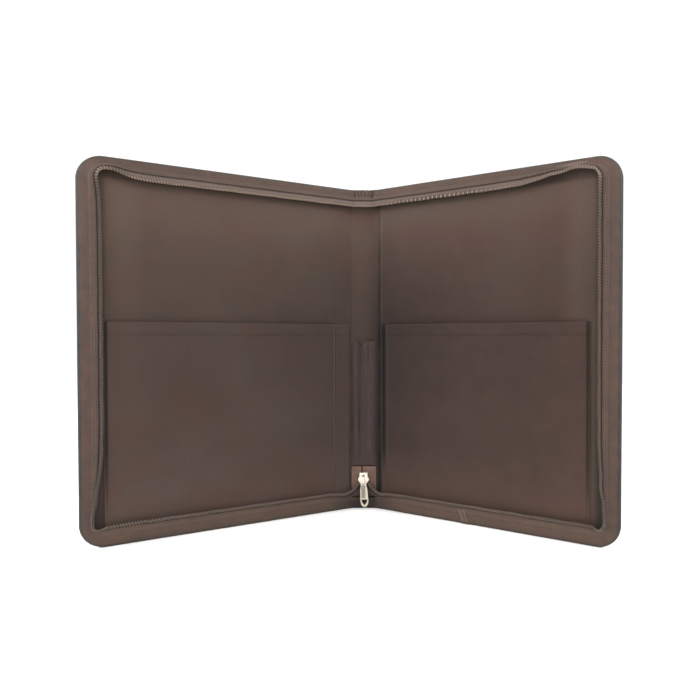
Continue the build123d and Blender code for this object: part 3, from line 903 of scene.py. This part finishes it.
def lining_marks(side, s, z):
    """Colour of the lining: painted shade under the strip, in the tuck, low down and by the spine, and
    painted light to the top and fore edge.
    """
    by_fore = FORE - s
    by_top = HEIGHT - z
    tuck = hump(s, SEAM[side] - TUCK_IN, 1.1 * MM)
    # the tuck gets painted shade, uneven along it and weaker near the top; the seam is a dark line with
    # a painted highlight just past it
    painted_shading = 0.8 + 0.2 * np.sin(z / (7 * MM)) - 0.35 * fall(by_top, 60 * MM, 25 * MM)
    tone = -0.85 * TUCK[side] * painted_shading * tuck - 0.1 * hump(s, SEAM[side], 0.8 * MM)
    tone = tone + 0.05 * hump(s, SEAM[side] + 2.2 * MM, 1.4 * MM)
    under_fore = UNDER_STRIP[side] * fall(by_fore, 23.5 * MM, 3 * MM)
    under_top = 0.55 * fall(by_top, 19.5 * MM, 1.5 * MM)
    lit = 0.2 * fall(by_top, 75 * MM, 48 * MM) * ramp(by_fore, 23 * MM, 3 * MM)
    near_fore = fall(by_fore, 62 * MM, 25 * MM)
    deep = LOW_DOWN[side] * ramp(by_top, 55 * MM, 45 * MM)
    tone = tone + lit + 0.24 * near_fore - deep - np.maximum(under_fore, under_top)
    # painted light towards the top, painted shade low down and by the spine; on the spine, lighter at
    # the top and darker low down
    low = ramp(by_top, 20 * MM, 150 * MM)
    by_spine = smooth(1 - (s - FOLD) / (190 * MM)) * ramp(s, FOLD, 4 * MM)
    tone = tone + 0.15 * (1 - low) - low * (0.08 + BY_SPINE[side] * by_spine)
    tone = tone + (0.16 - 0.24 * low) * fall(s, FOLD + 4 * MM, 3 * MM)
    tone = tone - ON_SPINE[side] * smooth(s / FOLD) * fall(s, FOLD + 5 * MM, 3 * MM)
    if side < 0:
        return tone, None
    by_edge = np.maximum(near_fore, fall(by_top, 60 * MM, 35 * MM))
    return tone, (0.5 - 0.9 * by_edge) * ramp(s, FOLD + 3 * MM, 9 * MM)


def make_lining(name, side):
    """The lining of one cover and half the spine, tucked into the fold and stitched beside it."""
    s, z = cover_grid(150, 110, TRIM)
    wave = 0.16 * MM * np.sin(s / (19 * MM) + 1.3 * side) * np.sin(z / (27 * MM) + 0.6)
    pucker = 0.10 * MM * np.sin(z / (1.1 * MM)) * hump(s, SEAM[side] + 1.6 * MM, 1.8 * MM)
    tuck = 0.45 * MM * TUCK[side] * hump(s, SEAM[side] - TUCK_IN, 1.2 * MM)
    seam = 0.28 * MM * hump(s, SEAM[side], 0.6 * MM)
    face = FACE + 0.12 * MM + wave + pucker - tuck - seam
    front = skin(side, s, z, face)
    back = skin(side, s, z, face - 0.5 * MM)
    tone, warm = lining_marks(side, s, z)
    uv = grid_uv(side * s, z)
    made = slab(f"{name}_lining_cloth", front, back, uv, LINING, tone=tone, warm=warm)
    cross_fold(made, name, "lining", f"{name}_lining", "spine_lining")


HEM = 11 * MM  # the pocket's folded top
HEM_ROWS = np.array([0, 0.5, 1.0, 2, 4, 7, 9.5, 10.6, 11.0]) * MM
# Each pocket's painted light and shade: over all, on the margin past its seam, by the spine, and low
# down
POCKET_TONE = {-1: (0.0, 0.16, -0.12, 0.26), 1: (-0.1, -0.58, -0.22, 0.36)}
POCKET_WARM = {-1: 0.1, 1: 1.0}


class Pocket:
    """A cloth pocket on one cover: flat by the spine, raised over the cover, open at the top."""

    def __init__(self, name, side):
        low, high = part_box(f"{name}_pocket")
        near, far = sorted((abs(low.x), abs(high.x)))
        self.name, self.side = name, side
        self.u_seam = (near - FOLD + (FACE + 0.6 * MM) * math.sin(LEAN)) / math.cos(LEAN)
        self.u_far = (far - FOLD + FACE * math.sin(LEAN)) / math.cos(LEAN)
        self.bottom, self.mouth = low.z, high.z

    def rise(self, u, z):
        """How far the cloth stands off the lining."""
        full = ramp(z, self.bottom, 75 * MM)
        wall = ramp(u, self.u_seam, 3.2 * MM) * fall(u, self.u_far, 2.6 * MM)
        across = (u - self.u_seam) / (self.u_far - self.u_seam)
        crown = np.clip(4 * across * (1 - across), 0, 1)
        sag = 0.25 * MM * np.sin(u / (17 * MM) + 2 * self.side) * np.sin(z / (23 * MM))
        lift = (2.6 + 1.9 * crown ** 0.7) * MM * full + sag * crown
        return 0.8 * MM + wall * np.clip(lift, 0, None)

    def place(self, u, z, above):
        """Points at a height above the lining."""
        return skin(self.side, FOLD + u, z, FACE + above)

    def tones(self, u, z, seam):
        """Dark on its seam; painted shade by the spine, higher up, under the hem and on the right
        pocket's margin; painted light low down, to the fore edge and on the left margin; a painted
        highlight on the mouth.
        """
        over_all, on_margin, near_spine, low_down = POCKET_TONE[self.side]
        margin = fall(u, self.u_seam, 3 * MM) * ramp(z, 40 * MM, 25 * MM)
        low = fall(z, 85 * MM, 60 * MM)
        by_spine = smooth(1 - u / (150 * MM)) * (1 - 0.9 * low)
        tone = over_all + on_margin * margin + near_spine * by_spine + low_down * low
        # a dark seam, painted shade under the hem's fold and a painted highlight on the mouth's edge
        tone = tone - 0.25 * seam - 0.12 * hump(z, self.mouth - HEM, 0.8 * MM)
        tone = tone + 0.1 * hump(z, self.mouth - 0.4 * MM, 0.8 * MM)
        # painted shade higher up and painted light towards the fore edge
        tone = tone - 0.11 * ramp(z, 105 * MM, 45 * MM)
        return tone + 0.22 * ramp(u, self.u_far - 55 * MM, 55 * MM)

    def make(self):
        u_start = SEAM[self.side] - FOLD + 0.7 * MM
        hem = self.mouth - HEM
        u = np.concatenate([
            np.linspace(u_start, self.u_seam, 12)[:-1],
            self.u_seam + np.linspace(0, 4, 10)[:-1] * MM,
            np.linspace(self.u_seam + 4 * MM, self.u_far - 3 * MM, 70)[:-1],
            self.u_far + np.linspace(-3, 0.6, 9) * MM,
        ])
        z = np.concatenate([np.linspace(self.bottom, hem, 60)[:-1], hem + HEM_ROWS])
        u, z = np.meshgrid(u, z, indexing="ij")
        turned = ramp(z, hem, 0.8 * MM)
        slack = ramp(z, self.mouth - 60 * MM, 60 * MM)
        slack = slack * ramp(u, self.u_seam, 20 * MM) * fall(u, self.u_far, 20 * MM)
        wavy = 0.5 * MM * np.sin(u / (31 * MM) + self.side) * slack
        lift = self.rise(u, z) + 0.28 * MM * turned + wavy
        seam = hump(u, self.u_seam - 0.4 * MM, 0.5 * MM)
        lip = ramp(z, self.mouth - 0.6 * MM, 0.6 * MM)
        thick = 0.45 * MM + 0.4 * MM * turned
        front = self.place(u, z, lift - 0.25 * MM * seam - 0.2 * MM * lip)
        back = self.place(u, z, np.maximum(lift - thick, 0.2 * MM))
        uv = grid_uv(self.side * u, z)
        marks = {"tone": self.tones(u, z, seam), "warm": POCKET_WARM[self.side]}
        made = slab(f"{self.name}_pocket_cloth", front, back, uv, POCKET, **marks)
        cross_fold(made, self.name, "pocket_cloth", f"{self.name}_pocket")
        self.sew()

    def on_cloth(self, u, z):
        """Points on the cloth's face, with the directions up, across and out."""
        def at(u, z, above=0.05 * MM):
            return self.place(u, z, self.rise(u, z) + above)

        here = at(u, z)
        return here, at(u, z + STEP) - here, at(u + STEP, z) - here, at(u, z, 0.15 * MM) - here

    def sew(self):
        """Stitches down the seam by the spine, and a short bar across its top corner."""
        z = np.arange(self.bottom + 8 * MM, self.mouth - 1 * MM, 3.1 * MM)
        seam = self.on_cloth(np.full_like(z, self.u_seam - 1.1 * MM), z)
        bar_u = self.u_seam + np.arange(-3, 3.1, 1.5) * MM
        bar = self.on_cloth(bar_u, np.full_like(bar_u, self.mouth - 2.2 * MM))
        middles = np.concatenate([seam[0], bar[0]])
        along = np.concatenate([seam[1], bar[2]])
        out = np.concatenate([seam[3], bar[3]])
        label = f"{self.name}_pocket_stitches"
        made = stitches(label, middles, along, out, DARK_THREAD, 2.2 * MM, 0.22 * MM)
        cross_fold(made, self.name, "pocket_cloth")


SLEEVE_HALF = 13.4 * MM


def sleeve_rise(x, height):
    """How far the pen sleeve's cloth stands off the lining; x in millimetres, height 0 to 1."""
    body = np.clip(1 - np.abs(x / SLEEVE_HALF * MM * 1.06) ** 4, 0, 1) ** 0.7
    right = 5.4 * hump(x, 6.4 + 0.8 * np.sin(height * 5), 5.2)
    left = 4.6 * hump(x, -8.4 + 0.7 * np.sin(height * 6 + 1), 3.6)
    lens = 1.4 * hump(x, -8.0, 1.3) * hump(height, 0.36, 0.14)
    beside_lens = -1.6 * (hump(x, -10.8, 1.1) + hump(x, -5.2, 1.1)) * hump(height, 0.36, 0.16)
    pinch = -1.7 * hump(x, 5.6 + 0.8 * np.sin(height * 4 + 2), 0.9) * smooth((height - 0.55) / 0.3)
    crumple = 0.4 * np.sin(x * 1.1 + height * 9) * np.sin(height * 17 + x * 0.3)
    ease = smooth(height / 0.16) * 0.75 + 0.25
    lift = 0.9 + np.clip((right + left + lens + beside_lens + pinch + crumple) * ease, 0, None) * body
    room = 0.8 + 1.7 * np.clip(11 - np.abs(x), 0, None)  # what a closed cover leaves it
    return np.minimum(lift, room) * MM


def make_sleeve():
    """The pen sleeve: a slack tube of cloth sewn to the spine lining at both sides."""
    low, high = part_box("pen_sleeve")
    columns = np.linspace(-SLEEVE_HALF, SLEEVE_HALF, 81)
    x, z = np.meshgrid(columns, np.linspace(low.z, high.z, 90), indexing="ij")
    share = (z - low.z) / (high.z - low.z)
    sag = 4.6 * MM * hump(x, -3.4 * MM, 3.4 * MM) * share ** 6
    lift = sleeve_rise(x / MM, share)
    hem = smooth((share - 0.955) / 0.01)
    thick = 0.55 * MM + 0.35 * MM * hem
    under = -FACE - 0.15 * MM
    front = np.stack([x, under - lift, z - sag], axis=-1)
    back = np.stack([x, under - np.maximum(lift - thick, 0.05 * MM), z - sag], axis=-1)
    # painted shade in the valleys, the crease and beside the lens, painted highlights on the ridge and
    # the hem, painted shade at the sides
    valley = hump(x, -3.6 * MM, 2.4 * MM) * (0.25 + 0.75 * smooth((share - 0.2) / 0.5))
    crease = hump(x, 5.6 * MM, 0.8 * MM) * smooth((share - 0.55) / 0.3)
    beside = (hump(x, -10.8 * MM, 1 * MM) + hump(x, -5.2 * MM, 1 * MM)) * hump(share, 0.36, 0.16)
    tone = -0.3 * valley - 0.35 * crease - 0.35 * beside + 0.14 * hump(x, 8.4 * MM, 2.6 * MM)
    tone = tone + 0.1 * hem - 0.15 * ramp(np.abs(x), SLEEVE_HALF - 1.6 * MM, 1 * MM)
    made = slab("pen_sleeve_cloth", front, back, grid_uv(x, z), SLEEVE, tone=tone)
    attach(made, "spine")
    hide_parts("pen_sleeve")


# ---- Leather tab over the zip's end ----
def make_tab():
    """The tab: a domed leather patch with a slit at its top, stitched round three sides."""
    low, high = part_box("zip_end_tab")
    half = high.x + 0.9 * MM
    slit_x, slit_half, slit_drop = -2 * MM, 0.9 * MM, 7.5 * MM
    thick = high.y - low.y
    face = -low.y
    x = np.concatenate([
        np.linspace(-half, slit_x - slit_half - 0.05 * MM, 14),
        [slit_x - slit_half, slit_x + slit_half],
        np.linspace(slit_x + slit_half + 0.05 * MM, half, 20),
    ])
    top = np.where(np.abs(x - slit_x) <= slit_half + 1e-7, high.z - slit_drop, high.z)
    share = np.linspace(0, 1, 40) ** 0.9
    z = low.z + (top - low.z)[:, None] * share[None, :]
    x = np.broadcast_to(x[:, None], z.shape)
    side_gap = np.minimum(half - np.abs(x), np.minimum(z - low.z, high.z - z))
    inset = 2.5 * MM
    spacing = 2.6 * MM
    seam = hump(side_gap, inset, 0.45 * MM)
    dome = 0.35 * MM * smooth(side_gap / (5 * MM))
    dome = dome - 0.45 * MM * np.clip(1 - side_gap / (0.8 * MM), 0, 1) ** 2
    front = np.stack([x, -(face + dome - 0.18 * MM * seam), z], axis=-1)
    back = np.stack([x, np.full_like(x, -(face - thick)), z], axis=-1)
    # a painted highlight round the tab's edges, a dark stitch line, and painted shadow on its low part
    # under the coils running to the slider
    tone = 0.12 * hump(side_gap, 0.3 * MM, 0.5 * MM) - 0.12 * seam
    over_slider = fall(z, low.z + 10 * MM, 5 * MM) * fall(np.abs(x), 10 * MM, 3 * MM)
    tone = tone - 0.5 * over_slider
    uv = grid_uv(x, z)
    made = slab("end_tab_leather", front, back, uv, TAB_LEATHER, tone=tone, warm=0.55)
    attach(made, "spine")
    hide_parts("zip_end_tab")
    rows = np.arange(low.z + inset + 1 * MM, high.z - inset, spacing)
    columns = np.arange(-half + inset + spacing / 2, half - inset, spacing)
    places, along = [], []
    for edge_x in (-half + inset, half - inset):
        places += [(edge_x, z) for z in rows]
        along += [(0, 0, 1.0)] * len(rows)
    places += [(x, low.z + inset) for x in columns]
    along += [(1.0, 0, 0)] * len(columns)
    middles = np.array([(x, -(face + 0.02 * MM), z) for x, z in places])
    out = np.tile([0, -1.0, 0], (len(places), 1))
    thread = stitches("end_tab_stitches", middles, np.array(along), out, DARK_THREAD, 1.9 * MM, 0.2 * MM)
    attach(thread, "spine")


# ---- Stitch lines ----
def sew_band(name, side):
    """The stitch line that holds the tape, round the strip's turned edge."""
    start, end = 12 * MM, ROUND - FOLD - 22 * MM
    t = np.arange(start, end, 3.0 * MM)
    here, along, _, out = band_surface(side, t, np.full_like(t, 12.7 * MM))
    made = stitches(f"{name}_band_stitches", here, along, out, DARK_THREAD, 2.3 * MM, 0.24 * MM)
    cross_fold(made, name, "gusset_leather")


def sew_fold(name, side):
    """The stitch lines beside the spine, inside and outside, and round the back's edge."""
    spacing = 3.4 * MM
    z = np.arange(9 * MM, HEIGHT - 9 * MM, spacing)
    s = np.full_like(z, SEAM[side])
    up = np.tile([0, 0, 1.0], (len(z), 1))
    inside = skin(side, s, z, FACE - 0.08 * MM)
    out = skin(side, s, z, FACE + MM) - inside
    # painted light on the stitches beside the spine: lit on the right half, in shade on the left,
    # unevenly along them
    painted_shading = 0.35 * np.sin(z / (9 * MM)) * np.sin(z / (23 * MM) + 1) + (0.6 if side > 0 else -0.1)
    made = stitches(f"{name}_lining_stitches", inside, up, out, DARK_THREAD, 2.3 * MM, 0.25 * MM, painted_shading)
    cross_fold(made, name, "lining")
    back = -HALF_LEATHER + 0.12 * MM
    behind = skin(side, s, z, back)
    rows = [(behind, up, skin(side, s, z, -HALF_LEATHER - MM) - behind)]
    t = np.arange(4 * MM, ROUND - 4 * MM, spacing)
    here = edge_skin(side, t, EDGE_SEAM, back)
    ahead = edge_skin(side, t + STEP, EDGE_SEAM, back)
    below = edge_skin(side, t, EDGE_SEAM, -HALF_LEATHER - MM)
    rows.append((here, ahead - here, below - here))
    joined = [np.concatenate(parts) for parts in zip(*rows)]
    made = stitches(f"{name}_panel_stitches", *joined, THREAD, 2.5 * MM, 0.27 * MM)
    cross_fold(made, name, "cover_leather")


def sew_join():
    """Two rows of zigzag stitches across the overlapped join of the strip."""
    across = np.linspace(2.6 * MM, 14.0 * MM, 9)
    zigzag = np.where(np.arange(9) % 2 == 0, -1.0, 1.0)
    t = JOIN - 3.2 * MM + 1.6 * MM * zigzag + (across - 8 * MM) * 0.3
    here, _, _, out = band_surface(1, t, across)
    here = here + unit(out) * 1.2 * MM
    middles = (here[1:] + here[:-1]) / 2
    along = here[1:] - here[:-1]
    first = band_surface(1, t[:-1], across[:-1])[0]
    second = band_surface(1, t[:-1] - 4.4 * MM, across[:-1])[0]
    rows = (middles, middles + second - first)
    length = float(np.linalg.norm(along, axis=1).mean())
    both = [np.concatenate(parts) for parts in (rows, (along, along), (out[1:], out[1:]))]
    made = stitches("join_stitches", *both, THREAD, length, 0.24 * MM)
    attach(made, "right_cover")


# ---- CAD nodes that keep their shape ----
def finish_node(node, material, bevel=0.0):
    """Gives a CAD node its material, and rounds its sharp edges."""
    made = frame["nodes"][node]
    made.data.materials.clear()
    made.data.materials.append(material)
    if bevel:
        rounded = made.modifiers.new("rounded", "BEVEL")
        rounded.width = bevel
        rounded.segments = 3
        rounded.limit_method = "ANGLE"
        rounded.angle_limit = math.radians(35)


# ---- Room ----
def make_floor():
    """A wide pale disc."""
    around = np.linspace(0, 2 * math.pi, 97)[:-1]
    radii = np.array([0.0005, 0.6, 1.5, 4.0, 9.0])
    rings = np.stack(
        [
            radii[:, None] * np.cos(around),
            radii[:, None] * np.sin(around),
            np.zeros((len(radii), len(around))),
        ],
        axis=-1,
    )
    f = Finish("pale_floor", Specular_IOR_Level=0.0)
    cloud = f.noise(f.node("TexCoord", output=BY_PLACE), 0.4, 3)
    finish = f.done(f.shade(srgb(250, 250, 250), f.scaled(cloud, 0.985, 1.0)), 0.9, cloud, 0.05 * MM)
    faces = ring_faces(len(radii), len(around))[:-1]
    floor = piece("floor", rings, faces, finish)


# Each lamp: its name, place, size and power in watts
LAMPS = (
    ("left", (-0.76, -0.5, 0.62), 0.5, 9.5),
    ("right", (0.74, -0.52, 0.64), 0.6, 10),
    ("front", (0.1, -1.5, 0.8), 1.2, 5),
    ("back", (0.2, 1.4, 1.2), 1.4, 14),
)
SURROUND = 1.1  # brightness of the white round about
CAMERA_X = 60.5 * MM  # to the right of the spine's middle
CAMERA_GAP = 699.2 * MM  # in front of the spine's back
CAMERA_Z = 185.9 * MM
CAMERA_DOWN = math.radians(1.11)
LENS = 32.97  # in millimetres
LENS_SHIFT = -0.0993


def make_light(name, place, target, size, power):
    lamp = bpy.data.lights.new(name, "AREA")
    lamp.shape = "DISK"
    lamp.size = size
    lamp.energy = power
    made = bpy.data.objects.new(name, lamp)
    made.location = place
    direction = target - made.location
    made.rotation_euler = direction.to_track_quat("-Z", "Y").to_euler()
    bpy.context.scene.collection.objects.link(made)


def make_room():
    """Camera, soft studio light and a white surround."""
    scene = bpy.context.scene
    scene.view_settings.view_transform = "Standard"
    world = bpy.data.worlds.new("studio")
    world.use_nodes = True
    background = world.node_tree.nodes["Background"]
    background.inputs["Color"].default_value = (1.0, 1.0, 1.0, 1.0)
    background.inputs["Strength"].default_value = SURROUND
    scene.world = world
    centre = (cad_box[0] + cad_box[1]) / 2
    for name, place, size, power in LAMPS:
        make_light(name, place, centre, size, power)
    lens = bpy.data.cameras.new("camera")
    lens.lens = LENS
    lens.shift_x = LENS_SHIFT
    lens.clip_start = 10 * MM
    camera = bpy.data.objects.new("camera", lens)
    camera.location = (CAMERA_X, cad_box[1].y - CAMERA_GAP, CAMERA_Z)
    camera.rotation_euler = (math.pi / 2 - CAMERA_DOWN, 0, 0)
    scene.collection.objects.link(camera)
    scene.camera = camera


make_room()
make_floor()
for side_name, side_sign in SIDES:
    make_outer_leather(side_name, side_sign)
    make_lining(side_name, side_sign)
    line = ZipLine(side_sign)
    make_tape(side_name, line)
    make_coil(side_name, line)
    sew_coil(side_name, line)
    sew_band(side_name, side_sign)
    sew_fold(side_name, side_sign)
make_band("left", -1, "edge_band", 0, ROUND, ("left_gusset", "spine_top_gusset", "spine_bottom_gusset"))
make_band("right", 1, "edge_band", 0, JOIN, ("right_gusset", "spine_top_gusset"), join_lift)
make_band("right", 1, "band_tail", JOIN - 9 * MM, ROUND, ("right_gusset_tail", "spine_bottom_gusset"))
sew_join()
Pocket("left", -1).make()
Pocket("right", 1).make()
make_sleeve()
make_tab()
for board in ("left_board", "right_board", "spine_board"):
    finish_node(board, BOARD)
finish_node("zip_tail", TAPE)
finish_node("slider_body", NICKEL, 0.3 * MM)
finish_node("slider_bridge", NICKEL, 0.25 * MM)
finish_node("pull_tab", PULL_METAL, 0.22 * MM)
